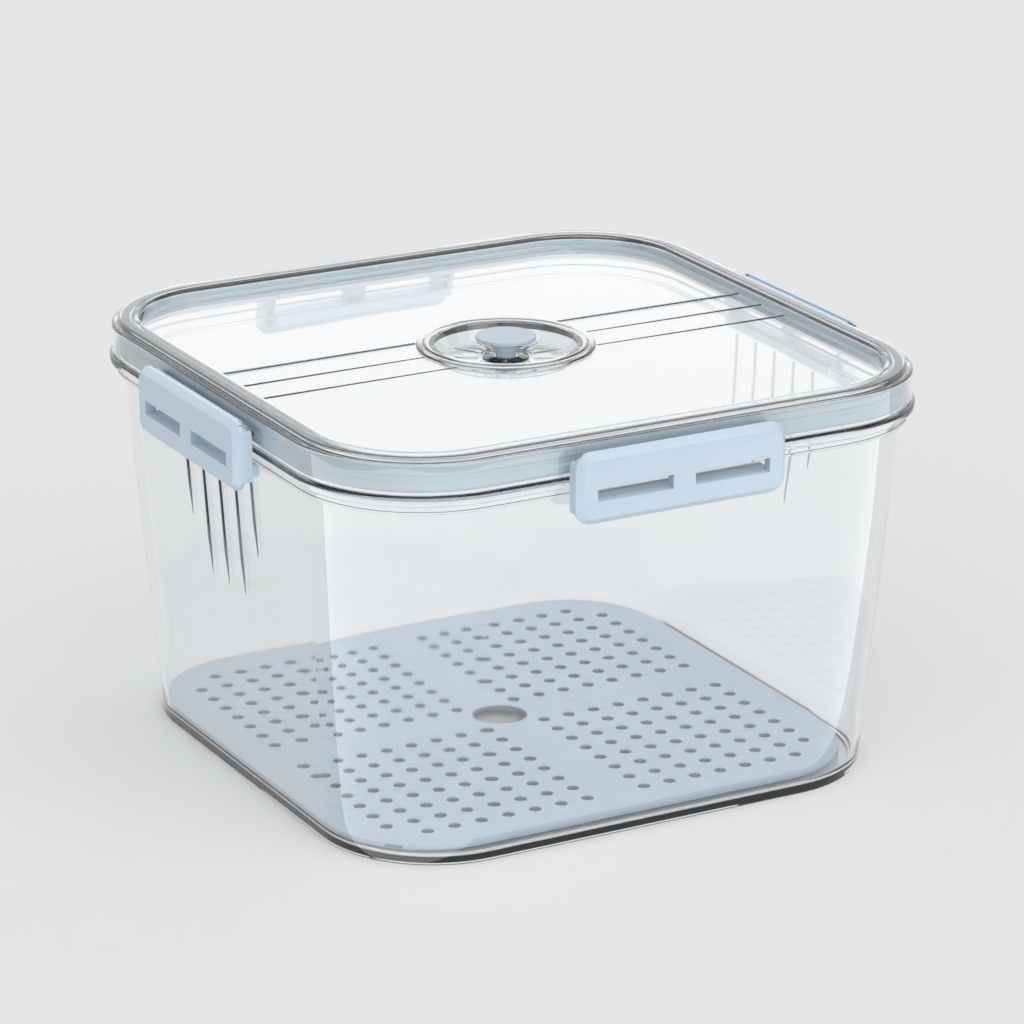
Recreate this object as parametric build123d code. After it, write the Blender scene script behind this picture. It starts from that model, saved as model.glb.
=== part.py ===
from build123d import *
import os
from math import cos, pi, sin

# Square food storage box with a drain tray, a clip-on lid and a vent valve.
# Millimetres, +Z up. The origin is on the table, under the middle of the box.

# Box: a tapered tub with a stepped rim
floor_side = 201.8
floor_corner = 41.0
neck_side = 219.0
neck_corner = 42.0
taper_height = 126.2
wall = 2.2
floor_thickness = 2.4
foot_chamfer = 1.2
step_projection = 2.3
step_thickness = 3.1
lip_projection = 4.5
lip_thickness = 3.1
lip_chamfer = 0.9
upstand_height = 1.4

# Grip ribs on the left and right walls, under the latches
rib_pitch = 12.8
rib_width = 1.3
rib_height = 0.8
rib_top_gap = 5.0
rib_bottoms = (90.0, 72.8, 72.8, 72.8, 90.0)

# Lid: a clear shell whose rim is a channel for the gasket
skirt_gap = 1.5
skirt_wall = 2.0
skirt_clearance = 0.5
plug_gap = 1.5
plug_wall = 2.1
plug_depth = 6.4
rim_thickness = 2.6
recess_depth = 3.5
panel_thickness = 2.2
shoulder_width = 2.4
shoulder_drop = 1.8
rim_chamfer = 0.8
line_offset = 15.4
line_width = 1.0
line_height = 0.5

# Gasket between the plug wall and the skirt
gasket_height = 8.6
gasket_fit = 0.15
gasket_groove_height = 2.6
gasket_groove_depth = 0.6

# Vent valve in the middle of the lid
cup_radius = 24.8
cup_depth = 4.7
cup_wall = 1.5
cup_floor = 1.8
cup_draft = 2.6
cup_fit = 0.2
cup_ring_width = 6.0
cup_ring_thickness = 0.9
cup_bead_radius = 27.9
cup_bead_width = 1.0
cup_bead_height = 0.6
petal_count = 12
petal_inner = 9.5
petal_outer = 20.5
petal_width = 1.5
petal_height = 0.7
vent_count = 6
vent_circle = 5.8
vent_radius = 0.9
knob_radius = 10.5
knob_thickness = 1.4
knob_rise = 2.1
stem_radius = 3.5
stem_fit = 0.4
seal_radius = 8.0
seal_thickness = 1.2
valve_travel = 3.0
bead_radius = 4.6
bead_height = 1.5

# Latches: moulded clips on stub pins in the lid's lugs
latch_width = 78.0
latch_height = 24.0
latch_drop = 3.0
latch_corner = 5.5
latch_chamfer = 2.2
latch_plate = 3.4
latch_gap = 4.6
latch_end_wall = 2.0
latch_end_depth = 2.8
slot_width = 28.0
slot_height = 4.8
slot_offset = 18.1
hook_thickness = 4.3
hook_reach = 1.6
hook_clearance = 0.3
hook_end_gap = 4.5
hook_tip_radius = 0.8
pin_radius = 1.2
pin_drop = 6.2
pin_out = 4.0
pin_fit = 0.25
barrel_radius = 2.6
lug_thickness = 3.0
lug_radius = 2.3
lug_arm_drop = 0.6
lug_side_gap = 0.3
lug_mouth = 1.9

# Drain tray on low feet
tray_side = 193.0
tray_corner = 37.0
tray_thickness = 1.8
tray_foot_height = 1.8
tray_foot_length = 33.0
tray_foot_width = 3.0
tray_foot_inset = 3.5
tray_foot_shift = 28.0
tray_shift_x = -1.8
tray_shift_y = 1.0
tray_chamfer = 0.4
hole_pitch = 10.0
hole_radius = 2.2
hole_sides = 6
hole_rows = 8
hole_cross_gap = 22.0
finger_hole_radius = 9.0

# Heights and half widths that follow from the sizes above
step_top = taper_height + step_thickness
lip_top = step_top + lip_thickness
rim_top = lip_top + upstand_height
upstand_out = neck_side / 2
upstand_in = upstand_out - wall
lip_out = upstand_out + lip_projection
skirt_in = upstand_out + skirt_gap
skirt_out = skirt_in + skirt_wall
plug_out = upstand_in - plug_gap
plug_in = plug_out - plug_wall
gasket_top = rim_top + gasket_height
lid_top = gasket_top + rim_thickness
panel_top = lid_top - recess_depth
panel_bottom = panel_top - panel_thickness
cup_floor_top = panel_top - cup_depth
cup_floor_bottom = cup_floor_top - cup_floor
latch_top = lid_top - latch_drop
plate_in = skirt_out + latch_gap
plate_out = plate_in + latch_plate
pin_z = lid_top - pin_drop
pin_n = skirt_out + pin_out
pin_half = latch_width / 2 - latch_end_wall
lug_out = pin_half - 2 * lug_side_gap
lug_in = lug_out - lug_thickness
tray_bottom = floor_thickness + tray_foot_height


def corner_at(half):
    """Corner radius of a rounded square concentric with the neck of the box."""
    return neck_corner + half - neck_side / 2


def slab(half, corner, low, high):
    """Upright block with a rounded square outline."""
    outline = Pos(0, 0, low) * RectangleRounded(2 * half, 2 * half, corner)
    return extrude(outline, high - low)


def ring(outer, inner, low, high):
    """Rounded square ring that follows the neck of the box."""
    return slab(outer, corner_at(outer), low, high) - slab(inner, corner_at(inner), low, high)


def taper(low, high, inset):
    """Tapered block that follows the tub's outside, drawn in by inset."""
    faces = []
    for height in (low, high):
        share = height / taper_height
        side = floor_side + share * (neck_side - floor_side)
        corner = floor_corner + share * (neck_corner - floor_corner)
        outline = RectangleRounded(side - 2 * inset, side - 2 * inset, corner - inset)
        faces.append((Pos(0, 0, height) * outline).face())
    return loft(faces)


def edges_at(shape, height):
    """Edges of a shape that lie flat at one height."""
    return shape.edges().filter_by_position(Axis.Z, height, height)


def side_turn(index):
    """Turn from the front side to the side of that index, counted anticlockwise."""
    return Rot(0, 0, 90 * index)


def wall_out(height):
    """Half width of the tub's outside at a height."""
    return (floor_side + height / taper_height * (neck_side - floor_side)) / 2


def grip_ribs():
    """Upright ribs on the front wall, turned later to the left and right."""
    ribs = Part()
    top = taper_height - rib_top_gap
    middle = (len(rib_bottoms) - 1) / 2
    for index, bottom in enumerate(rib_bottoms):
        across = (index - middle) * rib_pitch
        profile = Plane.YZ * Polyline(
            (-wall_out(bottom) + wall / 2, bottom),
            (-wall_out(bottom), bottom),
            (-wall_out(bottom + rib_pitch) - rib_height, bottom + rib_pitch),
            (-wall_out(top) - rib_height, top),
            (-wall_out(top) + wall / 2, top),
            close=True,
        )
        ribs += Pos(across, 0, 0) * extrude(make_face(profile), rib_width / 2, both=True)
    return ribs


def make_box():
    """Tapered tub with a stepped rim, an upstand and the grip ribs."""
    tub = taper(0, taper_height, 0)
    tub = chamfer(edges_at(tub, 0), foot_chamfer)
    step_out = upstand_out + step_projection
    tub += slab(upstand_out, neck_corner, taper_height, rim_top)
    tub += slab(step_out, corner_at(step_out), taper_height, step_top)
    lip = slab(lip_out, corner_at(lip_out), step_top, lip_top)
    tub += chamfer(edges_at(lip, step_top) + edges_at(lip, lip_top), lip_chamfer)
    ribs = grip_ribs()
    tub += side_turn(1) * ribs
    tub += side_turn(3) * ribs
    tub -= taper(floor_thickness, taper_height, wall)
    tub -= slab(upstand_in, corner_at(upstand_in), taper_height, rim_top)
    return tub


def lid_lug():
    """One snap lug in front of the skirt, centred on the YZ plane."""
    body = Pos(pin_n, pin_z) * Circle(lug_radius)
    reach = pin_n - skirt_in - skirt_wall / 2
    arm_height = lug_radius - lug_arm_drop
    arm_middle = pin_z - lug_arm_drop - arm_height / 2
    body += Pos(pin_n - reach / 2, arm_middle) * Rectangle(reach, arm_height)
    body -= Pos(pin_n, pin_z) * Circle(pin_radius + pin_fit)
    body -= Pos(pin_n, pin_z - lug_radius) * Rectangle(lug_mouth, 2 * lug_radius)
    flat = Plane(origin=(0, 0, 0), x_dir=(0, -1, 0), z_dir=(-1, 0, 0)) * body
    return extrude(flat, lug_thickness / 2, both=True)


def make_lid():
    """Clear lid: recessed panel, stepped rim, plug wall, skirt, lugs and panel lines."""
    shoulder = slab(skirt_out, corner_at(skirt_out), lip_top + skirt_clearance, lid_top - shoulder_drop)
    shoulder = chamfer(edges_at(shoulder, lid_top - shoulder_drop), rim_chamfer)
    crown_out = skirt_out - shoulder_width
    crown = slab(crown_out, corner_at(crown_out), lid_top - shoulder_drop, lid_top)
    crown = chamfer(edges_at(crown, lid_top), rim_chamfer)
    lid = shoulder + crown
    lid -= slab(plug_in, corner_at(plug_in), panel_top, lid_top)
    lid -= slab(plug_in, corner_at(plug_in), lip_top, panel_bottom)
    lid -= ring(skirt_in, plug_out, lip_top, gasket_top)
    lid -= slab(skirt_in, corner_at(skirt_in), lip_top, gasket_top - plug_depth)
    for across in (-line_offset, 0, line_offset):
        line = Pos(0, across, panel_top) * Rectangle(2 * plug_in, line_width)
        lid += extrude(line, line_height)
    lug_middle = (lug_in + lug_out) / 2
    for side in range(4):
        for end in (-lug_middle, lug_middle):
            lid += side_turn(side) * Pos(end, 0, 0) * lid_lug()
    opening = cup_radius + cup_wall + cup_fit
    land = opening + cup_ring_width - cup_wall
    lid -= Pos(0, 0, panel_top) * extrude(Circle(land), line_height)
    lid -= Pos(0, 0, panel_bottom) * extrude(Circle(opening), panel_thickness)
    return lid


def make_gasket():
    """Soft ring with two sealing bands and a groove between them."""
    outer = skirt_in - gasket_fit
    inner = plug_out + gasket_fit
    band = (gasket_height - gasket_groove_height) / 2
    gasket = ring(outer, inner, rim_top, rim_top + band)
    gasket += ring(outer, inner, gasket_top - band, gasket_top)
    gasket += ring(outer - gasket_groove_depth, inner + gasket_groove_depth, rim_top, gasket_top)
    return gasket


def make_valve_cup():
    """Clear dish that drops into the lid, with a ring on the panel and vents in its floor."""
    bottom_out = cup_radius + cup_wall - cup_draft
    section = Plane.XZ * Polyline(
        (stem_radius + stem_fit, cup_floor_bottom),
        (bottom_out, cup_floor_bottom),
        (cup_radius + cup_wall, panel_top),
        (cup_radius + cup_ring_width, panel_top),
        (cup_radius + cup_ring_width, panel_top + cup_ring_thickness),
        (cup_bead_radius + cup_bead_width / 2, panel_top + cup_ring_thickness),
        (cup_bead_radius, panel_top + cup_ring_thickness + cup_bead_height),
        (cup_bead_radius - cup_bead_width / 2, panel_top + cup_ring_thickness),
        (cup_radius, panel_top + cup_ring_thickness),
        (bottom_out - cup_wall, cup_floor_top),
        (stem_radius + stem_fit, cup_floor_top),
        close=True,
    )
    cup = revolve(make_face(section), Axis.Z)
    for index in range(petal_count):
        length = petal_outer - petal_inner
        petal = Pos((petal_inner + petal_outer) / 2, 0, cup_floor_top) * Rectangle(length, petal_width)
        cup += Rot(0, 0, 360 * index / petal_count) * extrude(petal, petal_height)
    for index in range(vent_count):
        angle = 2 * pi * index / vent_count
        place = Pos(vent_circle * cos(angle), vent_circle * sin(angle), cup_floor_bottom)
        cup -= place * extrude(RegularPolygon(vent_radius, hole_sides), cup_floor)
    return cup


def make_valve_knob():
    """Mushroom plug: a flat head, a stem through the cup and a bead that stops it."""
    head_top = panel_top + knob_rise + knob_thickness
    head_bottom = panel_top + knob_rise
    bead_top = cup_floor_bottom - valve_travel
    bead_bottom = bead_top - bead_height
    section = Plane.XZ * Polyline(
        (0, bead_bottom),
        (stem_radius, bead_bottom),
        (bead_radius, bead_bottom + bead_height / 2),
        (bead_radius, bead_top),
        (stem_radius, bead_top),
        (stem_radius, head_bottom - knob_thickness),
        (stem_radius + knob_thickness, head_bottom),
        (knob_radius, head_bottom),
        (knob_radius, head_top - knob_thickness / 2),
        (knob_radius - knob_thickness / 2, head_top),
        (0, head_top),
        close=True,
    )
    return revolve(make_face(section), Axis.Z)


def make_valve_seal():
    """Soft washer on the stem that covers the vents."""
    section = Plane.XZ * Polyline(
        (stem_radius, cup_floor_top),
        (seal_radius, cup_floor_top),
        (seal_radius, cup_floor_top + seal_thickness / 2),
        (stem_radius + seal_thickness, cup_floor_top + seal_thickness),
        (stem_radius, cup_floor_top + seal_thickness),
        close=True,
    )
    return revolve(make_face(section), Axis.Z)


def latch_slice(half, near, far, low, high):
    """Block across the front latch, between two distances out from the middle."""
    return Pos(0, -(near + far) / 2, (low + high) / 2) * Box(2 * half, far - near, high - low)


def rod(radius, start, end):
    """Round bar along the pin's axis."""
    face = Plane(origin=(start, -pin_n, pin_z), z_dir=(1, 0, 0)) * Circle(radius)
    return extrude(face, end - start)


def make_latch():
    """Front latch: slotted cover plate, end walls, hook and hinge barrel with stub pins."""
    bottom = latch_top - latch_height
    middle = (latch_top + bottom) / 2
    flat = Plane(origin=(0, -plate_in, middle), x_dir=(1, 0, 0), z_dir=(0, -1, 0))
    outline = RectangleRounded(latch_width, latch_height, latch_corner)
    plate = extrude(flat * outline, latch_plate)
    plate = chamfer(plate.faces().sort_by(Axis.Y)[0].edges(), latch_chamfer)
    hook_top = taper_height - hook_clearance
    hook_bottom = hook_top - hook_thickness
    rim = outline - offset(outline, -latch_end_wall)
    walls = extrude(flat * rim, -latch_end_depth)
    walls &= latch_slice(latch_width / 2, skirt_out, plate_in, hook_bottom, pin_z)
    latch = plate + walls
    hook_tip = upstand_out + step_projection - hook_reach
    hook = latch_slice(latch_width / 2 - hook_end_gap, hook_tip, plate_in, hook_bottom, hook_top)
    hook = fillet(hook.faces().sort_by(Axis.Y)[-1].edges().filter_by(Axis.X), hook_tip_radius)
    latch += hook
    barrel_half = lug_in - lug_side_gap
    latch += rod(barrel_radius, -barrel_half, barrel_half)
    for end in (-1, 1):
        slot = Rectangle(slot_width, slot_height)
        place = Pos(end * slot_offset, hook_top + slot_height / 2 - middle)
        latch -= extrude(flat * place * slot, latch_plate)
        clear_low = min(end * barrel_half, end * pin_half)
        clear_high = max(end * barrel_half, end * pin_half)
        latch -= rod(lug_radius + lug_side_gap, clear_low, clear_high)
        latch += rod(pin_radius, clear_low, clear_high)
    return latch


def tray_holes():
    """Centres of the drain holes: four square quarters, each without its outer corner hole."""
    centres = []
    last = hole_rows - 1
    for column in range(hole_rows):
        for row in range(hole_rows):
            across = hole_cross_gap / 2 + column * hole_pitch
            along = hole_cross_gap / 2 + row * hole_pitch
            if column + row < 2 * last:
                centres += [(across, along), (-across, along), (-across, -along), (across, -along)]
    return centres


def make_tray():
    """Flat drain tray with a finger hole and four low feet."""
    outline = RectangleRounded(tray_side, tray_side, tray_corner)
    hole = RegularPolygon(hole_radius, hole_sides)
    rims = [(Pos(*centre) * hole).face().outer_wire() for centre in tray_holes()]
    rims.append(Circle(finger_hole_radius).face().outer_wire())
    sheet = Pos(0, 0, tray_bottom) * Face(outline.face().outer_wire(), rims)
    plate = extrude(sheet, tray_thickness)
    top_rim = plate.faces().sort_by(Axis.Z)[-1].outer_wire().edges()
    plate = chamfer(top_rim, tray_chamfer)
    foot_line = tray_side / 2 - tray_foot_inset - tray_foot_width / 2
    foot = Pos(-tray_foot_shift, -foot_line, floor_thickness) * Rectangle(tray_foot_length, tray_foot_width)
    for side in range(4):
        plate += side_turn(side) * extrude(foot, tray_foot_height)
    return Pos(tray_shift_x, tray_shift_y, 0) * plate


def main():
    os.makedirs("parts", exist_ok=True)
    parts = {
        "box_body": make_box(),
        "lid_shell": make_lid(),
        "lid_gasket": make_gasket(),
        "valve_cup": make_valve_cup(),
        "valve_knob": make_valve_knob(),
        "valve_seal": make_valve_seal(),
        "drain_tray": make_tray(),
    }
    latch = make_latch()
    for side, name in enumerate(("front", "right", "back", "left")):
        parts["latch_" + name] = side_turn(side) * latch
    for name, part in parts.items():
        export_step(part, f"parts/{name}.step")


main()
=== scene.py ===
# %% [markdown]
# # A clear food storage box with side latches, a vent valve and a drain tray
#
# The real box is a tapered tub of clear plastic. A clear lid with a soft gasket sits on its rim and is held
# down by four blue clips. A loose perforated tray lies on the floor of the tub.
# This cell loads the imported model: its solids give every size, and this script gives the object its looks.

# %% Load the frame
from math import atan2, cos, pi, radians, sin, tan

import bmesh
import bpy
from mathutils import Matrix, Vector


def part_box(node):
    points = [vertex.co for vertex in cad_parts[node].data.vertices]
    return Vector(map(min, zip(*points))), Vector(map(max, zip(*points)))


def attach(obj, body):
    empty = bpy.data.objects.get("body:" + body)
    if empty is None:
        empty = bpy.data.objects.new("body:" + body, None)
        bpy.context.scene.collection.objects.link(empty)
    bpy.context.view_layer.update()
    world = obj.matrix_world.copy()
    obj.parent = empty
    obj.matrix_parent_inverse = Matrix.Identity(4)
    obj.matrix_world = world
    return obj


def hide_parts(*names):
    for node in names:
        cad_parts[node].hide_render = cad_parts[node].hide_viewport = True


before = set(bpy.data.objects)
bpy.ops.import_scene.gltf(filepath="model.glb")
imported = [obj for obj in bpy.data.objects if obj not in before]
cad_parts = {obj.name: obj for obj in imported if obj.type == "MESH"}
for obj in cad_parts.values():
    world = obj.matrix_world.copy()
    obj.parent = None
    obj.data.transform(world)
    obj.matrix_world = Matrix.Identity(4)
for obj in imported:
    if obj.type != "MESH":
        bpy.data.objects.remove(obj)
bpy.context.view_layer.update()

sizes = {name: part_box(name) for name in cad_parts}
mm = 0.001

# %% [markdown]
# ## Sizes
#
# The outer heights and half widths are read from the solids. Wall thicknesses and small steps are stated here
# and repeat those of the solids.
# The half width is the distance from the middle of the box to one side.

# %% Sizes read from the solids
tub_low, tub_high = sizes["box_body"]
lid_low, lid_high = sizes["lid_shell"]
gasket_low, gasket_high = sizes["lid_gasket"]
tray_low, tray_high = sizes["drain_tray"]
lip_half = tub_high[0]
rim_top = tub_high[2]
lid_top = lid_high[2]
gasket_out = gasket_high[0]
gasket_bottom = gasket_low[2]
gasket_top = gasket_high[2]
lip_top = rim_top - 1.4 * mm
step_top = lip_top - 3.1 * mm
taper_top = step_top - 3.1 * mm
neck_half = lip_half - 4.5 * mm
neck_corner = 42 * mm
base_half = 100.9 * mm
base_corner = 41 * mm
wall = 2.2 * mm
floor_top = tray_low[2]
skirt_in = neck_half + 1.5 * mm
skirt_out = skirt_in + 2.0 * mm
skirt_bottom = lid_low[2]
plug_out = neck_half - wall - 1.5 * mm
plug_in = plug_out - 2.1 * mm
plug_bottom = gasket_top - 6.4 * mm
panel_top = lid_top - 3.5 * mm
panel_bottom = panel_top - 2.2 * mm
print("rim top", round(rim_top / mm, 2), "mm, lid top", round(lid_top / mm, 2), "mm")

# %% [markdown]
# ## Helpers for shapes that follow the box's outline
#
# The tub, the lid and the gasket are all a cross-section swept round one rounded square. A sweep is a grid
# of points: one ring of points for each corner of the cross-section, so all the faces are clean quads.
# Each ring has the same number of points, which lets a ring be a circle too, as at the valve's hole.

# %% Rings of points
ARC_STEPS = 20
SIDE_STEPS = 10


def square_ring(half, corner, height):
    """Points of a rounded square at one height, anticlockwise from above."""
    points = []
    flat = half - corner
    for quarter in range(4):
        turn = Matrix.Rotation(quarter * pi / 2, 3, "Z")
        for step in range(SIDE_STEPS):
            points.append(turn @ Vector((half, flat * (2 * step / SIDE_STEPS - 1), height)))
        for step in range(ARC_STEPS):
            angle = pi / 2 * step / ARC_STEPS
            points.append(turn @ Vector((flat + corner * cos(angle), flat + corner * sin(angle), height)))
    return points


def round_ring(radius, height):
    """Points of a circle that pair up with the points of a rounded square."""
    count = 4 * (SIDE_STEPS + ARC_STEPS)
    angles = [2 * pi * step / count - pi / 4 * SIDE_STEPS / (SIDE_STEPS + ARC_STEPS) for step in range(count)]
    return [Vector((radius * cos(angle), radius * sin(angle), height)) for angle in angles]


def neck_ring(half, height):
    """Rounded square that keeps the same corner centres as the neck of the tub."""
    return square_ring(half, neck_corner + half - neck_half, height)


# %% [markdown]
# A moulded edge is never perfectly sharp. `rounded` takes the corners of a cross-section, each with its own
# radius, and puts a short arc of points in place of each corner.

# %% Rounded cross-sections
def rounded(corners, steps=4):
    """(distance, height, radius) corners of a closed cross-section, as (distance, height) points."""
    points = []
    count = len(corners)
    for index, (out, up, radius) in enumerate(corners):
        here = Vector((out, up))
        before = Vector(corners[index - 1][:2]) - here
        after = Vector(corners[(index + 1) % count][:2]) - here
        if radius == 0:
            points.append(here)
            continue
        bend = before.angle(after)
        reach = min(radius / tan(bend / 2), 0.49 * before.length, 0.49 * after.length)
        first = here + before.normalized() * reach
        last = here + after.normalized() * reach
        for step in range(steps + 1):
            share = step / steps
            points.append(first * (1 - share) ** 2 + here * 2 * share * (1 - share) + last * share ** 2)
    return points


def new_object(name, data):
    """An object made from data and put in the scene."""
    thing = bpy.data.objects.new(name, data)
    bpy.context.scene.collection.objects.link(thing)
    return thing


def shade(mesh, degrees=40):
    """Smooth shading, with sharp edges where the faces turn by more than the angle."""
    mesh.shade_smooth()
    mesh.set_sharp_from_angle(angle=radians(degrees))


def settle(thing):
    """Applies an object's modifiers to its mesh."""
    settled = thing.evaluated_get(bpy.context.evaluated_depsgraph_get())
    mesh = bpy.data.meshes.new_from_object(settled)
    thing.modifiers.clear()
    thing.data = mesh


def mesh_object(name, vertices, faces):
    """A smooth-shaded mesh object whose edges stay sharp where its faces turn by over 40 degrees."""
    mesh = bpy.data.meshes.new(name)
    mesh.from_pydata(vertices, [], faces)
    return finish_mesh(name, mesh)


def finish_mesh(name, mesh):
    """Normals turned outwards, smooth shading, and the mesh put in the scene."""
    work = bmesh.new()
    work.from_mesh(mesh)
    bmesh.ops.remove_doubles(work, verts=work.verts, dist=0.002 * mm)
    bmesh.ops.recalc_face_normals(work, faces=work.faces)
    work.to_mesh(mesh)
    work.free()
    shade(mesh)
    return new_object(name, mesh)


def prism(name, section_at, near, far):
    """A block with the same closed section at its near and far end."""
    vertices = section_at(near) + section_at(far)
    count = len(vertices) // 2
    faces = [tuple(range(count)), tuple(reversed(range(count, 2 * count)))]
    faces += [(a, count + a, count + (a + 1) % count, (a + 1) % count) for a in range(count)]
    return mesh_object(name, vertices, faces)


def sweep(name, rings, closed):
    """Joins rings of points into a skin. An open one is closed by a fan at its first and last ring."""
    count = len(rings[0])
    vertices = [point for ring in rings for point in ring]
    faces = []
    for level in range(len(rings) if closed else len(rings) - 1):
        low = level * count
        high = (level + 1) % len(rings) * count
        for step in range(count):
            following = (step + 1) % count
            faces.append((low + step, low + following, high + following, high + step))
    if not closed:
        faces.append(tuple(reversed(range(count))))
        faces.append(tuple(range(len(vertices) - count, len(vertices))))
    return mesh_object(name, vertices, faces)


# %% [markdown]
# Ribs, lugs and raised lines are part of the same moulding as the wall that carries them. They are made as
# plain blocks and joined to it with an exact Boolean, because overlapping clear bodies would refract twice.

# %% Joining and cutting
def block(low, high):
    """A plain box between two corners."""
    places = [(x, y, z) for z in (low[2], high[2]) for y in (low[1], high[1]) for x in (low[0], high[0])]
    faces = [(0, 2, 3, 1), (4, 5, 7, 6), (0, 1, 5, 4), (2, 6, 7, 3), (0, 4, 6, 2), (1, 3, 7, 5)]
    return mesh_object("block", places, faces)


def combine(base, tool, operation):
    """Applies one exact Boolean to base and deletes the tool."""
    step = base.modifiers.new("step", "BOOLEAN")
    step.operation = operation
    step.solver = "EXACT"
    step.object = tool
    settle(base)
    shade(base.data)
    bpy.data.objects.remove(tool)


def merged(things):
    """One object out of several."""
    work = bmesh.new()
    for thing in things:
        work.from_mesh(thing.data)
    mesh = bpy.data.meshes.new("merged")
    work.to_mesh(mesh)
    work.free()
    for thing in things:
        bpy.data.objects.remove(thing)
    return new_object("merged", mesh)


def turned(thing, angle):
    """Turns a mesh about the middle of the box."""
    thing.data.transform(Matrix.Rotation(angle, 4, "Z"))
    return thing


# %% [markdown]
# ## The tub
#
# The tub is one clear moulding: a flat floor, walls that taper so that it leaves its mould, and a stepped
# rim that the latches hook under. Its cross-section starts and ends in the middle of the floor.

# %% Make the tub
def tub_ring(out_by, height):
    """Ring on the tapered wall, moved outwards by out_by."""
    share = height / taper_top
    half = base_half + share * (neck_half - base_half) + out_by
    corner = base_corner + share * (neck_corner - base_corner) + out_by
    return square_ring(half, corner, height)


def wall_half(height):
    """Half width of the tub's outside at a height."""
    return base_half + height / taper_top * (neck_half - base_half)


rim_corners = [
    (neck_half - 4 * mm, taper_top, 0),
    (neck_half, taper_top, 0.3 * mm),
    (neck_half + 2.3 * mm, taper_top, 0.5 * mm),
    (neck_half + 2.3 * mm, step_top, 0.5 * mm),
    (lip_half, step_top, 1.1 * mm),
    (lip_half, lip_top, 1.1 * mm),
    (neck_half, lip_top, 0.4 * mm),
    (neck_half, rim_top, 0.6 * mm),
    (neck_half - wall, rim_top, 0.6 * mm),
    (neck_half - wall, taper_top, 0.5 * mm),
    (neck_half - wall - 4 * mm, taper_top, 0),
]
rim_points = rounded(rim_corners)[1:-1]
foot_round = 1.4 * mm
rings = [round_ring(0.5 * mm, 0), round_ring(30 * mm, 0)]
for step in range(6):
    angle = pi / 2 * step / 5
    rings.append(tub_ring(-foot_round * (1 - sin(angle)), foot_round * (1 - cos(angle))))
for share in (0.1, 0.3, 0.5, 0.7, 0.9):
    rings.append(tub_ring(0, taper_top * share))
rings += [neck_ring(out, up) for out, up in rim_points]
for share in (0.9, 0.7, 0.5, 0.3, 0.1):
    rings.append(tub_ring(-wall, taper_top * share))
inner_round = 3.0 * mm
for step in range(6):
    angle = pi / 2 * step / 5
    rings.append(tub_ring(-wall - inner_round * (1 - cos(angle)), floor_top + inner_round * (1 - sin(angle))))
rings += [round_ring(30 * mm, floor_top), round_ring(0.5 * mm, floor_top)]
tub = sweep("tub", rings, closed=False)

rib_pitch = 12.8 * mm
rib_bottoms = [90 * mm, 72.8 * mm, 72.8 * mm, 72.8 * mm, 90 * mm]
rib_top = taper_top - 5 * mm
ribs = []
for side in (-1, 1):
    for index, bottom in enumerate(rib_bottoms):
        along = (index - 2) * rib_pitch
        half_width = 0.55 * mm
        depths = [(bottom, 0), (bottom + rib_pitch, 0.75 * mm), (rib_top, 0.75 * mm)]
        vertices = []
        for height, proud in depths:
            inner = wall_half(height) - 0.8 * mm
            outer = wall_half(height) + proud
            for x, width in ((inner, -1), (outer, -0.5), (outer, 0.5), (inner, 1)):
                vertices.append((side * x, along + half_width * width, height))
        faces = [(0, 1, 2, 3), (8, 11, 10, 9)]
        for low in (0, 4):
            faces += [(low + a, low + 4 + a, low + 4 + (a + 1) % 4, low + (a + 1) % 4) for a in range(4)]
        ribs.append(mesh_object("rib", vertices, faces))
combine(tub, merged(ribs), "UNION")
tub.name = "clear_tub"
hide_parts("box_body")
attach(tub, "box")
print("tub faces:", len(tub.data.polygons))

# %% [markdown]
# ## The lid
#
# The lid is a second clear moulding. Its panel is set below the rim, and under the rim a plug wall and a
# skirt make the channel that holds the gasket. Fine raised lines stiffen the panel.

# %% Make the lid
cup_hole = 26.5 * mm
seat_hole = 31.2 * mm
rim_drop = 1.8 * mm
crown_half = skirt_out - 2.4 * mm
lid_corners = [
    (plug_in - 1.2 * mm, panel_top, 0.6 * mm),
    (plug_in, lid_top, 0.8 * mm),
    (crown_half - 5.4 * mm, lid_top, 0),
    (crown_half - 5.1 * mm, lid_top - 0.35 * mm, 0.2 * mm),
    (crown_half - 4.8 * mm, lid_top, 0),
    (crown_half, lid_top, 0.9 * mm),
    (crown_half + 0.2 * mm, lid_top - rim_drop, 0.4 * mm),
    (skirt_out, lid_top - rim_drop, 1.2 * mm),
    (skirt_out, skirt_bottom, 0.5 * mm),
    (skirt_in, skirt_bottom, 0.5 * mm),
    (skirt_in, gasket_top, 0.3 * mm),
    (plug_out, gasket_top, 0.3 * mm),
    (plug_out, plug_bottom, 0.5 * mm),
    (plug_in, plug_bottom, 0.5 * mm),
    (plug_in, panel_bottom, 0.8 * mm),
]
rings = [neck_ring(out, up) for out, up in rounded(lid_corners)]
rings += [round_ring(cup_hole, panel_bottom), round_ring(cup_hole, panel_top)]
lid = sweep("lid", rings, closed=True)

line_offset = 15.4 * mm
lines = []
for across in (-line_offset, 0, line_offset):
    for side in (-1, 1):
        reach = plug_in - 1.5 * mm
        start = (seat_hole ** 2 - across ** 2) ** 0.5
        proud = 0.42 * mm if across > 0 else 0.16 * mm
        section = [(-0.55 * mm, -0.4 * mm), (-0.45 * mm, 0.35 * proud), (-0.2 * mm, proud),
                   (0.2 * mm, proud), (0.45 * mm, 0.35 * proud), (0.55 * mm, -0.4 * mm)]

        def line_end(x):
            return [(side * x, across + y, panel_top + z) for y, z in section]

        lines.append(prism("line", line_end, start, reach))
combine(lid, merged(lines), "UNION")

pin_out = skirt_out + 4.0 * mm
pin_height = lid_top - 6.2 * mm
lug_width = 3.0 * mm
lug_middle = 34.9 * mm


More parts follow.
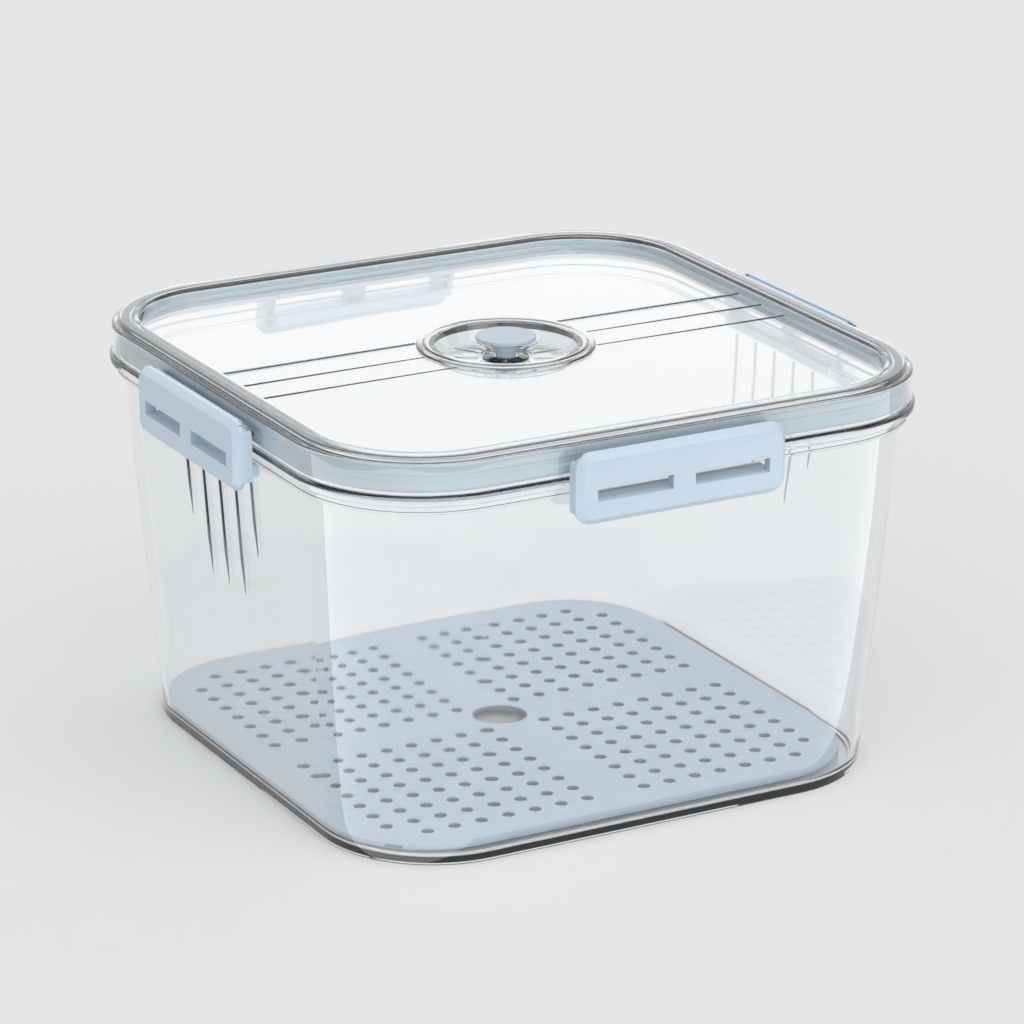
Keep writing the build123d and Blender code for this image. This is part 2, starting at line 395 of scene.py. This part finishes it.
def lug_section():
    """Side view of one lug, as (distance, height) points: an arm that ends in an open ring."""
    ring_out = 2.3 * mm
    ring_in = 1.45 * mm
    mouth = 0.95 * mm
    arm_drop = 0.6 * mm
    root = skirt_in + 1 * mm
    arm_bottom = pin_height - ring_out
    edge = [(root, arm_bottom), (pin_out - mouth - 0.5 * mm, arm_bottom)]
    edge.append((pin_out - mouth, pin_height - (ring_out ** 2 - mouth ** 2) ** 0.5))
    start = pi + atan2((ring_in ** 2 - mouth ** 2) ** 0.5, mouth)
    finish = -atan2((ring_in ** 2 - mouth ** 2) ** 0.5, mouth)
    for step in range(13):
        angle = start + (finish - start) * step / 12
        edge.append((pin_out + ring_in * cos(angle), pin_height + ring_in * sin(angle)))
    start = -atan2((ring_out ** 2 - mouth ** 2) ** 0.5, mouth)
    finish = pi + atan2(arm_drop, (ring_out ** 2 - arm_drop ** 2) ** 0.5)
    for step in range(15):
        angle = start + (finish - start) * step / 14
        edge.append((pin_out + ring_out * cos(angle), pin_height + ring_out * sin(angle)))
    edge.append((root, pin_height - arm_drop))
    return edge


def lug_end(x):
    """The lug's side view, placed at x on the front side."""
    return [(x, -out, up) for out, up in lug_section()]


lugs = []
for quarter in range(4):
    for end in (-lug_middle, lug_middle):
        lug = prism("lug", lug_end, end - lug_width / 2, end + lug_width / 2)
        lugs.append(turned(lug, quarter * pi / 2))
combine(lid, merged(lugs), "UNION")
lid.name = "clear_lid"
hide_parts("lid_shell")
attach(lid, "lid")
print("lid faces:", len(lid.data.polygons))

# %% [markdown]
# ## The gasket
#
# The gasket is a soft ring with two swollen bands and a narrow waist between them. The lower band is wider.

# %% Make the gasket
gasket_in = plug_out + 0.15 * mm
gasket_corners = [
    (gasket_in, gasket_bottom, 0.8 * mm),
    (gasket_out, gasket_bottom, 1.2 * mm),
    (gasket_out, gasket_bottom + 3.0 * mm, 1.0 * mm),
    (gasket_out - 0.6 * mm, gasket_bottom + 3.4 * mm, 0.3 * mm),
    (gasket_out - 0.6 * mm, gasket_top - 3.4 * mm, 0.3 * mm),
    (gasket_out - 0.3 * mm, gasket_top - 3.0 * mm, 0.8 * mm),
    (gasket_out - 0.3 * mm, gasket_top, 1.2 * mm),
    (gasket_in, gasket_top, 0.8 * mm),
]
gasket = sweep("soft_gasket", [neck_ring(out, up) for out, up in rounded(gasket_corners)], closed=True)
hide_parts("lid_gasket")
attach(gasket, "lid")

# %% [markdown]
# ## The vent valve
#
# The cup, the plug and its washer are all round, so each is a cross-section turned about the middle.

# %% Make the valve
def circle(radius, height, count, centre=0.0):
    """Points of a circle, whose middle may be moved along x."""
    angles = [2 * pi * step / count for step in range(count)]
    return [Vector((centre + radius * cos(angle), radius * sin(angle), height)) for angle in angles]


def turned_piece(name, corners):
    """Turns a closed cross-section about the middle of the box."""
    return sweep(name, [circle(out, up, 96) for out, up in rounded(corners)], closed=True)


cup_floor = panel_top - 4.7 * mm
cup_under = cup_floor - 1.8 * mm
cup_top = panel_top + 0.9 * mm
stem_hole = 3.9 * mm
cup = turned_piece("valve_dish", [
    (stem_hole, cup_under, 0.3 * mm),
    (23.7 * mm, cup_under, 1.2 * mm),
    (26.3 * mm, panel_top, 0.3 * mm),
    (30.8 * mm, panel_top, 0.2 * mm),
    (30.8 * mm, cup_top, 0.6 * mm),
    (28.6 * mm, cup_top, 0.2 * mm),
    (27.9 * mm, cup_top + 0.6 * mm, 0.4 * mm),
    (27.2 * mm, cup_top, 0.2 * mm),
    (24.8 * mm, cup_top, 0.5 * mm),
    (22.2 * mm, cup_floor, 1.0 * mm),
    (stem_hole, cup_floor, 0.3 * mm),
])
petal_count = 12
petal_half = 0.55 * mm
petals = []
for index in range(petal_count):
    near_corner = (9.5 * mm, -petal_half, cup_floor - 0.4 * mm)
    far_corner = (20.5 * mm, petal_half, cup_floor + 0.7 * mm)
    petals.append(turned(block(near_corner, far_corner), 2 * pi * index / petal_count))
combine(cup, merged(petals), "UNION")
vent_count = 6
vent_circle = 5.8 * mm
vent_radius = 0.9 * mm
vent_steps = 16
vents = []
for index in range(vent_count):
    vertices = []
    for height in (cup_under - 1 * mm, cup_floor + 1 * mm):
        vertices += circle(vent_radius, height, vent_steps, vent_circle)
    faces = [tuple(reversed(range(vent_steps))), tuple(range(vent_steps, 2 * vent_steps))]
    for a in range(vent_steps):
        b = (a + 1) % vent_steps
        faces.append((a, b, vent_steps + b, vent_steps + a))
    vents.append(turned(mesh_object("vent", vertices, faces), 2 * pi * index / vent_count))
combine(cup, merged(vents), "DIFFERENCE")
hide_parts("valve_cup")
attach(cup, "lid")

head_top = panel_top + 3.5 * mm
head_under = head_top - 1.4 * mm
bead_top = cup_under - 3.0 * mm
bead_bottom = bead_top - 1.5 * mm
bead_radius = 4.6 * mm
stem_radius = 3.5 * mm
head_radius = 10.5 * mm
head_dish = 0.12 * mm
axis_gap = 0.02 * mm
knob = turned_piece("valve_plug", [
    (axis_gap, bead_bottom, 0),
    (stem_radius, bead_bottom, 0.4 * mm),
    (bead_radius, bead_bottom + 0.75 * mm, 0.4 * mm),
    (bead_radius, bead_top, 0.3 * mm),
    (stem_radius, bead_top, 0.3 * mm),
    (stem_radius, head_under - 1.4 * mm, 0.8 * mm),
    (4.9 * mm, head_under, 0.5 * mm),
    (head_radius, head_under, 0.5 * mm),
    (head_radius, head_top, 0.9 * mm),
    (8.6 * mm, head_top - head_dish, 1.0 * mm),
    (axis_gap, head_top - head_dish, 0),
])
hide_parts("valve_knob")
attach(knob, "valve_plunger")
washer_radius = 8.0 * mm
washer_top = cup_floor + 1.2 * mm
washer = turned_piece("vent_washer", [
    (stem_radius, cup_floor, 0),
    (washer_radius, cup_floor, 0.2 * mm),
    (washer_radius, cup_floor + 0.7 * mm, 0.3 * mm),
    (4.7 * mm, washer_top, 0.4 * mm),
    (stem_radius, washer_top, 0),
])
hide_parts("valve_seal")
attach(washer, "valve_plunger")

# %% [markdown]
# ## The latches
#
# The four clips are one moulding used four times. Each copy of a solid is cleaned first: its loose triangles
# are merged and flat areas joined, and then a Bevel modifier gives every edge the small radius of a mould.

# %% Make the latches
def bevel(thing, width, segments, degrees):
    """Rounds the edges where the faces turn by more than the angle."""
    soft = thing.modifiers.new("soft edges", "BEVEL")
    soft.width = width
    soft.segments = segments
    soft.limit_method = "ANGLE"
    soft.angle_limit = radians(degrees)
    settle(thing)


def softened(node, name, width, segments):
    """A copy of a solid whose edges are rounded, applied to a plain mesh."""
    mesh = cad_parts[node].data.copy()
    mesh.name = name
    work = bmesh.new()
    work.from_mesh(mesh)
    bmesh.ops.remove_doubles(work, verts=work.verts, dist=0.004 * mm)
    bmesh.ops.dissolve_limit(work, angle_limit=radians(1), verts=work.verts, edges=work.edges)
    work.to_mesh(mesh)
    work.free()
    thing = new_object(name, mesh)
    bevel(thing, width, segments, 28)
    thing.data.materials.clear()
    shade(thing.data, 30)
    return thing


latches = []
for side in ("front", "right", "back", "left"):
    latch = softened("latch_" + side, "clip_" + side, 0.35 * mm, 3)
    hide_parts("latch_" + side)
    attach(latch, "latch_" + side)
    latches.append(latch)
print("one clip has", len(latches[0].data.polygons), "faces")

# %% [markdown]
# ## The drain tray
#
# The tray is a flat plate with a grid of round holes. The grid is a rule, so Geometry Nodes make it: points
# on a grid become circles, the circles and the outline are filled as one flat sheet, and the sheet gets its
# thickness. The sizes are the tree's named inputs.

# %% Make the tray with Geometry Nodes
tray_thickness = 1.8 * mm


def tray_tree():
    """Outline, drain holes and finger hole filled as one sheet, then made thick."""
    tree = bpy.data.node_groups.new("drain tray", "GeometryNodeTree")
    face = tree.interface
    face.new_socket("Geometry", in_out="OUTPUT", socket_type="NodeSocketGeometry")
    face.new_socket("Geometry", in_out="INPUT", socket_type="NodeSocketGeometry")
    defaults = (("Pitch", 10 * mm), ("Middle Gap", 22 * mm), ("Hole Radius", 2.15 * mm),
                ("Finger Hole Radius", 9 * mm), ("Thickness", tray_thickness))
    for name, value in defaults:
        face.new_socket(name, in_out="INPUT", socket_type="NodeSocketFloat").default_value = value
    face.new_socket("Rows", in_out="INPUT", socket_type="NodeSocketInt").default_value = 8
    nodes = tree.nodes
    links = tree.links
    into = nodes.new("NodeGroupInput")
    out = nodes.new("NodeGroupOutput")

    def math(operation, first, second):
        node = nodes.new("ShaderNodeMath")
        node.operation = operation
        for slot, value in zip(node.inputs, (first, second)):
            if isinstance(value, (int, float)):
                slot.default_value = value
            else:
                links.new(value, slot)
        return node.outputs[0]

    span = math("MULTIPLY", into.outputs["Pitch"], math("SUBTRACT", into.outputs["Rows"], 1))
    grid = nodes.new("GeometryNodeMeshGrid")
    links.new(span, grid.inputs["Size X"])
    links.new(span, grid.inputs["Size Y"])
    links.new(into.outputs["Rows"], grid.inputs["Vertices X"])
    links.new(into.outputs["Rows"], grid.inputs["Vertices Y"])
    points = nodes.new("GeometryNodeMeshToPoints")
    links.new(grid.outputs["Mesh"], points.inputs["Mesh"])
    place = nodes.new("GeometryNodeInputPosition")
    spread = nodes.new("ShaderNodeSeparateXYZ")
    links.new(place.outputs[0], spread.inputs[0])
    limit = math("SUBTRACT", math("MULTIPLY", span, 0.5), 0.5 * mm)
    far_x = math("GREATER_THAN", spread.outputs["X"], limit)
    far_y = math("GREATER_THAN", spread.outputs["Y"], limit)
    drop = nodes.new("GeometryNodeDeleteGeometry")
    drop.domain = "POINT"
    links.new(points.outputs[0], drop.inputs["Geometry"])
    links.new(math("MULTIPLY", far_x, far_y), drop.inputs["Selection"])
    hole = nodes.new("GeometryNodeCurvePrimitiveCircle")
    hole.inputs["Resolution"].default_value = 20
    links.new(into.outputs["Hole Radius"], hole.inputs["Radius"])
    quarter = nodes.new("GeometryNodeInstanceOnPoints")
    links.new(drop.outputs[0], quarter.inputs["Points"])
    links.new(hole.outputs["Curve"], quarter.inputs["Instance"])
    middle = math("ADD", math("MULTIPLY", into.outputs["Middle Gap"], 0.5), math("MULTIPLY", span, 0.5))
    shift = nodes.new("ShaderNodeCombineXYZ")
    links.new(middle, shift.inputs["X"])
    links.new(middle, shift.inputs["Y"])
    moved = nodes.new("GeometryNodeTransform")
    links.new(quarter.outputs[0], moved.inputs["Geometry"])
    links.new(shift.outputs[0], moved.inputs["Translation"])
    join = nodes.new("GeometryNodeJoinGeometry")
    for turn in range(4):
        spun = nodes.new("GeometryNodeTransform")
        spun.inputs["Rotation"].default_value = (0, 0, turn * pi / 2)
        links.new(moved.outputs[0], spun.inputs["Geometry"])
        links.new(spun.outputs[0], join.inputs[0])
    finger = nodes.new("GeometryNodeCurvePrimitiveCircle")
    finger.inputs["Resolution"].default_value = 64
    links.new(into.outputs["Finger Hole Radius"], finger.inputs["Radius"])
    links.new(finger.outputs["Curve"], join.inputs[0])
    outline = nodes.new("GeometryNodeMeshToCurve")
    links.new(into.outputs["Geometry"], outline.inputs["Mesh"])
    links.new(outline.outputs[0], join.inputs[0])
    real = nodes.new("GeometryNodeRealizeInstances")
    links.new(join.outputs[0], real.inputs[0])
    fill = nodes.new("GeometryNodeFillCurve")
    fill.mode = "NGONS"
    links.new(real.outputs[0], fill.inputs["Curve"])
    lift = nodes.new("GeometryNodeExtrudeMesh")
    lift.inputs["Individual"].default_value = False
    links.new(fill.outputs[0], lift.inputs["Mesh"])
    links.new(into.outputs["Thickness"], lift.inputs["Offset Scale"])
    under = nodes.new("GeometryNodeFlipFaces")
    links.new(fill.outputs[0], under.inputs[0])
    solid = nodes.new("GeometryNodeJoinGeometry")
    links.new(lift.outputs["Mesh"], solid.inputs[0])
    links.new(under.outputs[0], solid.inputs[0])
    weld = nodes.new("GeometryNodeMergeByDistance")
    weld.inputs["Distance"].default_value = 0.001 * mm
    links.new(solid.outputs[0], weld.inputs[0])
    links.new(weld.outputs[0], out.inputs[0])
    return tree


tray_middle = Vector(((tray_low[0] + tray_high[0]) / 2, (tray_low[1] + tray_high[1]) / 2, 0))
tray_half = (tray_high[0] - tray_low[0]) / 2
tray_under = tray_high[2] - tray_thickness
edge_points = square_ring(tray_half, 37 * mm, 0)
edge_mesh = bpy.data.meshes.new("tray outline")
edge_mesh.from_pydata(edge_points, [(a, (a + 1) % len(edge_points)) for a in range(len(edge_points))], [])
tray = new_object("perforated_tray", edge_mesh)
print("tray spans", round(2 * tray_half / mm, 1), "mm")
grow = tray.modifiers.new("drain tray", "NODES")
grow.node_group = tray_tree()
settle(tray)
tray.data.transform(Matrix.Translation(tray_middle + Vector((0, 0, tray_under))))
print("tray faces:", len(tray.data.polygons))

# %% [markdown]
# A Bevel modifier rounds the rims of the holes and the edge of the plate. The four low feet are blocks.

# %% Finish the tray
bevel(tray, 0.3 * mm, 2, 50)
feet = []
foot_line = tray_half - 5 * mm
foot_half = 1.5 * mm
for quarter in range(4):
    near_corner = (-44.5 * mm, -foot_line - foot_half, floor_top)
    far_corner = (-11.5 * mm, -foot_line + foot_half, tray_under + 0.4 * mm)
    foot = block(near_corner, far_corner)
    feet.append(turned(foot, quarter * pi / 2))
feet = merged(feet)
feet.data.transform(Matrix.Translation(tray_middle))
work = bmesh.new()
work.from_mesh(tray.data)
work.from_mesh(feet.data)
bmesh.ops.recalc_face_normals(work, faces=work.faces)
work.to_mesh(tray.data)
work.free()
bpy.data.objects.remove(feet)
shade(tray.data)
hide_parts("drain_tray")
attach(tray, "tray")
print("finished tray faces:", len(tray.data.polygons))

# %% [markdown]
# ## Finishes
#
# Moulded plastic is never one flat colour: the melt leaves faint clouds in it, the mould a fine grain, and
# use leaves specks of dust and duller patches. One node group makes these, and each material sets its own
# amounts.

# %% The shared surface group
def surface_group():
    """Colour, roughness and height that change gently over a moulded piece."""
    group = bpy.data.node_groups.new("Moulded surface", "ShaderNodeTree")
    face = group.interface
    face.new_socket("Main Color", in_out="INPUT", socket_type="NodeSocketColor")
    face.new_socket("Cloud Color", in_out="INPUT", socket_type="NodeSocketColor")
    face.new_socket("Dust Color", in_out="INPUT", socket_type="NodeSocketColor")
    for name, value in (("Cloud Size", 40.0), ("Cloud Amount", 0.5), ("Dust Amount", 0.1),
                        ("Grain Size", 2500.0), ("Smooth Roughness", 0.2), ("Dull Roughness", 0.3)):
        face.new_socket(name, in_out="INPUT", socket_type="NodeSocketFloat").default_value = value
    face.new_socket("Color", in_out="OUTPUT", socket_type="NodeSocketColor")
    face.new_socket("Roughness", in_out="OUTPUT", socket_type="NodeSocketFloat")
    face.new_socket("Height", in_out="OUTPUT", socket_type="NodeSocketFloat")
    nodes = group.nodes
    links = group.links
    into = nodes.new("NodeGroupInput")
    out = nodes.new("NodeGroupOutput")
    place = nodes.new("ShaderNodeTexCoord")

    def noise(scale, detail):
        node = nodes.new("ShaderNodeTexNoise")
        node.inputs["Detail"].default_value = detail
        links.new(place.outputs["Object"], node.inputs["Vector"])
        if isinstance(scale, float):
            node.inputs["Scale"].default_value = scale
        else:
            links.new(scale, node.inputs["Scale"])
        return node.outputs["Fac"]

    def fitted(value, low, high, new_low, new_high):
        node = nodes.new("ShaderNodeMapRange")
        links.new(value, node.inputs["Value"])
        limits = {"From Min": low, "From Max": high, "To Min": new_low, "To Max": new_high}
        for name, amount in limits.items():
            if isinstance(amount, float):
                node.inputs[name].default_value = amount
            else:
                links.new(amount, node.inputs[name])
        return node.outputs["Result"]

    def mixed(share, first, second):
        node = nodes.new("ShaderNodeMix")
        node.data_type = "RGBA"
        links.new(share, node.inputs["Factor"])
        links.new(first, node.inputs["A"])
        links.new(second, node.inputs["B"])
        return node.outputs["Result"]

    clouds = noise(into.outputs["Cloud Size"], 3.0)
    grain = noise(into.outputs["Grain Size"], 2.0)
    specks = noise(900.0, 1.0)
    smears = noise(18.0, 4.0)
    cloud_share = fitted(clouds, 0.35, 0.65, 0.0, into.outputs["Cloud Amount"])
    dust_share = fitted(specks, 0.72, 0.8, 0.0, into.outputs["Dust Amount"])
    tinted = mixed(cloud_share, into.outputs["Main Color"], into.outputs["Cloud Color"])
    links.new(mixed(dust_share, tinted, into.outputs["Dust Color"]), out.inputs["Color"])
    rough = fitted(smears, 0.35, 0.7, into.outputs["Smooth Roughness"], into.outputs["Dull Roughness"])
    links.new(rough, out.inputs["Roughness"])
    links.new(grain, out.inputs["Height"])
    return group


moulded = surface_group()


def place_group(material, main, cloud, dust, **amounts):
    """Puts the shared group in a material with its own values."""
    node = material.node_tree.nodes.new("ShaderNodeGroup")
    node.node_tree = moulded
    for name, color in (("Main Color", main), ("Cloud Color", cloud), ("Dust Color", dust)):
        node.inputs[name].default_value = (*color, 1)
    for name, amount in amounts.items():
        node.inputs[name.replace("_", " ").title()].default_value = amount
    return node


def bumped(material, height, distance, strength):
    """A Bump node fed by a height."""
    node = material.node_tree.nodes.new("ShaderNodeBump")
    node.inputs["Distance"].default_value = distance
    node.inputs["Strength"].default_value = strength
    material.node_tree.links.new(height, node.inputs["Height"])
    return node.outputs["Normal"]


# %% [markdown]
# ### Clear plastic
#
# Clear plastic bends light a little more than window glass. Light that heads for a lamp passes straight
# through the material, because a path tracer would otherwise leave a dark shadow under every clear wall.

# %% Clear plastic
def switch(material, ray, other):
    """Lets one kind of ray see another shader in place of the material's present one."""
    nodes = material.node_tree.nodes
    links = material.node_tree.links
    path = nodes.new("ShaderNodeLightPath")
    choice = nodes.new("ShaderNodeMixShader")
    surface = nodes["Material Output"].inputs["Surface"]
    links.new(path.outputs[ray], choice.inputs["Fac"])
    links.new(surface.links[0].from_socket, choice.inputs[1])
    links.new(other.outputs[0], choice.inputs[2])
    links.new(choice.outputs[0], surface)


def clear_plastic(name, main, cloud):
    """Clear moulded plastic with faint handling haze."""
    material = bpy.data.materials.new(name)
    material.use_nodes = True
    nodes = material.node_tree.nodes
    links = material.node_tree.links
    shader = nodes["Principled BSDF"]
    shader.inputs["Transmission Weight"].default_value = 1.0
    shader.inputs["IOR"].default_value = 1.57
    surface = place_group(material, main, cloud, (0.9, 0.92, 0.94), cloud_size=22.0,
                          cloud_amount=0.5, dust_amount=0.1, smooth_roughness=0.012, dull_roughness=0.045)
    links.new(surface.outputs["Color"], shader.inputs["Base Color"])
    links.new(surface.outputs["Roughness"], shader.inputs["Roughness"])
    passing = nodes.new("ShaderNodeBsdfTransparent")
    passing.inputs["Color"].default_value = (0.93, 0.95, 0.96, 1)
    switch(material, "Is Shadow Ray", passing)
    return material


def solid_plastic(name, main, cloud, smooth, dull, grain_depth, coat):
    """Opaque moulded plastic or silicone."""
    material = bpy.data.materials.new(name)
    material.use_nodes = True
    links = material.node_tree.links
    shader = material.node_tree.nodes["Principled BSDF"]
    surface = place_group(material, main, cloud, (0.75, 0.78, 0.8), cloud_size=35.0, cloud_amount=0.6,
                          dust_amount=0.12, smooth_roughness=smooth, dull_roughness=dull)
    links.new(surface.outputs["Color"], shader.inputs["Base Color"])
    links.new(surface.outputs["Roughness"], shader.inputs["Roughness"])
    links.new(bumped(material, surface.outputs["Height"], grain_depth, 0.35), shader.inputs["Normal"])
    shader.inputs["Coat Weight"].default_value = coat
    shader.inputs["Coat Roughness"].default_value = 0.15
    return material


clear = clear_plastic("clear plastic", (0.972, 0.985, 0.992), (0.95, 0.972, 0.985))
# Painted shade: the proud faces of the tub's clear ribs get a dark tint for the dark look the bent light
# gives them.
rib_painted_shade = clear_plastic("smoked plastic", (0.06, 0.085, 0.12), (0.09, 0.12, 0.17))
# Painted shade: the far raised line of the clear lid gets a dark blue tint for the dark look the bent light
# gives it.
line_painted_shade = clear_plastic("lid line painted shade plastic", (0.16, 0.27, 0.4), (0.2, 0.31, 0.44))
soft_clear = clear_plastic("clear silicone", (0.86, 0.9, 0.93), (0.8, 0.86, 0.9))
latch_blue = solid_plastic("latch plastic", (0.49, 0.605, 0.72), (0.52, 0.635, 0.745),
                           0.32, 0.42, 0.02 * mm, 0.15)
silicone = solid_plastic("gasket silicone", (0.41, 0.50, 0.55), (0.45, 0.535, 0.585),
                         0.42, 0.55, 0.02 * mm, 0.0)
plug_blue = solid_plastic("valve silicone", (0.38, 0.46, 0.54), (0.41, 0.49, 0.565),
                          0.38, 0.48, 0.02 * mm, 0.0)
tray_blue = solid_plastic("tray plastic", (0.355, 0.44, 0.525), (0.385, 0.47, 0.555),
                          0.4, 0.5, 0.03 * mm, 0.0)
# Painted shade: the upright walls of the drain holes are painted dark for the shade that falls inside the
# holes.
painted_hole_shade = solid_plastic("tray hole walls painted shade", (0.12, 0.17, 0.22), (0.15, 0.2, 0.25),
                          0.5, 0.6, 0.03 * mm, 0.0)

finishes = {tub: clear, lid: clear, cup: clear, gasket: silicone, knob: plug_blue, washer: soft_clear,
            tray: tray_blue}
finishes.update({latch: latch_blue for latch in latches})
for thing, finish in finishes.items():
    thing.data.materials.clear()
    thing.data.materials.append(finish)
# Painted shade: the proud faces of the tub's ribs, found below, take the dark rib tint.
tub.data.materials.append(rib_painted_shade)
# Painted shade: the faces of the lid's far raised line, found below, take the dark blue tint.
lid.data.materials.append(line_painted_shade)
for face in tub.data.polygons:
    x, y, z = face.center
    on_rib = abs(x) > wall_half(z) + 0.05 * mm and abs(y) < 27 * mm and 72 * mm < z < rib_top + 0.1 * mm
    face.material_index = 1 if on_rib else 0
for face in lid.data.polygons:
    x, y, z = face.center
    on_line = abs(y - line_offset) < 0.6 * mm and z > panel_top + 0.05 * mm and abs(x) < plug_in - 1.4 * mm
    face.material_index = 1 if on_line else 0
# Painted shade on the upright hole walls inside the tray's edge.
tray.data.materials.append(painted_hole_shade)
for face in tray.data.polygons:
    x, y, z = face.center - tray_middle
    within_edge = max(abs(x), abs(y)) < tray_half - 8 * mm
    within_plate = tray_under + 0.35 * mm < z < tray_high[2] - 0.2 * mm
    upright = abs(face.normal.z) < 0.3
    face.material_index = 1 if within_edge and within_plate and upright else 0
print("finished pieces:", len(finishes))

# %% [markdown]
# ## Studio
#
# A pale floor fills the view and the sky above it is even. A white card stands behind the box, two grey ones
# stand at its sides, and two bright ones lie on the floor in front. Only reflections see the cards. Rays that
# pass through a clear wall see a floor as bright as the backdrop, so the walls stay clear.

# %% Floor, panels and lamps
def flat_mesh(name, corners, height=0.0):
    """One flat face with the given corners."""
    mesh = bpy.data.meshes.new(name)
    mesh.from_pydata([(x, y, height) for x, y in corners], [], [tuple(range(len(corners)))])
    return mesh


def card(corners, name, color, strength):
    """A glowing flat card, lying level, that only reflections see."""
    sheet = new_object(name, flat_mesh(name, corners))
    sheet.visible_camera = False
    sheet.visible_diffuse = False
    sheet.visible_shadow = False
    material = bpy.data.materials.new(name)
    material.use_nodes = True
    nodes = material.node_tree.nodes
    glow = nodes.new("ShaderNodeEmission")
    glow.inputs["Color"].default_value = (*color, 1)
    glow.inputs["Strength"].default_value = strength
    material.node_tree.links.new(glow.outputs[0], nodes["Material Output"].inputs["Surface"])
    switch(material, "Is Transmission Ray", nodes.new("ShaderNodeBsdfTransparent"))
    sheet.data.materials.append(material)
    return sheet


def panel(name, centre, facing, width, height, color, strength):
    """A card that stands at a place and faces a point."""
    x, y = width / 2, height / 2
    sheet = card([(-x, -y), (x, -y), (x, y), (-x, y)], name, color, strength)
    sheet.location = centre
    sheet.rotation_euler = (Vector(facing) - Vector(centre)).to_track_quat("Z", "Y").to_euler()


def matt_paint(name):
    """Plain pale paint with no gloss."""
    material = bpy.data.materials.new(name)
    material.use_nodes = True
    paint = material.node_tree.nodes["Principled BSDF"]
    paint.inputs["Base Color"].default_value = (0.78, 0.78, 0.78, 1)
    paint.inputs["Roughness"].default_value = 0.9
    paint.inputs["Specular IOR Level"].default_value = 0.0
    return material


backdrop = 0.745
reach = 20.0
floor_corners = [(-reach, -reach), (reach, -reach), (reach, reach), (-reach, reach)]
floor = new_object("floor", flat_mesh("floor", floor_corners))
floor.location.z = -0.05 * mm
floor_paint = matt_paint("floor paint")
for ray, grey, strength in (("Is Glossy Ray", 1.0, 0.85), ("Is Transmission Ray", backdrop, 1.0)):
    glow = floor_paint.node_tree.nodes.new("ShaderNodeEmission")
    glow.inputs["Color"].default_value = (grey, grey, grey, 1)
    glow.inputs["Strength"].default_value = strength
    switch(floor_paint, ray, glow)
floor.data.materials.append(floor_paint)

# The patch under the box stays plain paint for every ray, so the shade below the tray shows in its holes.
patch_corners = [point[:2] for point in square_ring(base_half + 1 * mm, base_corner, 0)]
patch = new_object("shaded patch", flat_mesh("shaded patch", patch_corners, -0.03 * mm))
patch.data.materials.append(matt_paint("patch paint"))

world = bpy.data.worlds.new("studio air")
bpy.context.scene.world = world
world.use_nodes = True
nodes = world.node_tree.nodes
links = world.node_tree.links
air = nodes["Background"]
air.inputs["Color"].default_value = (1, 1, 1, 1)
path = nodes.new("ShaderNodeLightPath")
strength = None
for ray, value in (("Is Glossy Ray", 1.2), ("Is Transmission Ray", backdrop), ("Is Camera Ray", backdrop)):
    choice = nodes.new("ShaderNodeMix")
    choice.inputs["A"].default_value = 0.68
    if strength:
        links.new(strength, choice.inputs["A"])
    choice.inputs["B"].default_value = value
    links.new(path.outputs[ray], choice.inputs["Factor"])
    strength = choice.outputs["Result"]
links.new(strength, air.inputs["Strength"])


def sun(name, azimuth, elevation, strength, softness):
    """A distant soft lamp, which lights the floor evenly."""
    lamp = bpy.data.lights.new(name, "SUN")
    lamp.energy = strength
    lamp.angle = radians(softness)
    thing = new_object(name, lamp)
    direction = Vector((sin(azimuth) * cos(elevation), -cos(azimuth) * cos(elevation), sin(elevation)))
    thing.rotation_euler = direction.to_track_quat("Z", "Y").to_euler()


sun("key", radians(20), radians(50), 1.0, 50)
sun("fill", radians(-60), radians(45), 0.4, 60)
aim = (0, 0, 0.1)
white = (1, 1, 1)
panel("back panel", (0.9, 2.2, 1.0), aim, 3.6, 1.6, white, 1.7)
glow_areas = {
    "corner glow": ([(-0.112, -0.066), (-0.064, -0.114), (0.10, -0.70), (-0.70, -0.70), (-0.60, 0.32)], 2.9),
    "front glow": ([(-0.064, -0.114), (0.30, -0.114), (0.90, -0.30), (0.90, -0.90), (0.10, -0.70)], 2.6),
}
for name, (corners, strength) in glow_areas.items():
    card(corners, name, white, strength).location.z = 0.3 * mm
grey = (0.36, 0.38, 0.4)
panel("dark left", (-1.6, 0.3, 0.5), aim, 1.0, 0.8, grey, 1.0)
panel("dark right", (1.5, -0.3, 0.5), aim, 0.7, 0.8, grey, 1.0)

# %% [markdown]
# ## Camera
#
# The camera stands 28.5 degrees to the left of the front and 19 degrees up, where a fit to the photograph
# puts it. Its axes are given as three unit vectors. The light is followed through up to 28 surfaces, because
# many clear walls stand one behind another.

# %% Camera
view = bpy.data.cameras.new("camera")
view.lens = 162.3
view.sensor_width = 36
camera = new_object("camera", view)
across = Vector((0.87873, -0.47733, 0.0))
upward = Vector((0.15509, 0.28551, 0.94575))
towards = Vector((-0.45143, -0.83105, 0.32491))
spot = towards * 1.62508 + across * 0.00213 + upward * 0.07100 + Vector((0, 0, 0.00575))
camera.matrix_world = Matrix((
    (across.x, upward.x, towards.x, spot.x),
    (across.y, upward.y, towards.y, spot.y),
    (across.z, upward.z, towards.z, spot.z),
    (0, 0, 0, 1),
))
scene = bpy.context.scene
scene.camera = camera
scene.view_settings.view_transform = "Standard"
bounces = 28
scene.cycles.max_bounces = bounces
scene.cycles.transmission_bounces = bounces
scene.cycles.transparent_max_bounces = bounces
print("camera at", [round(value, 3) for value in spot])
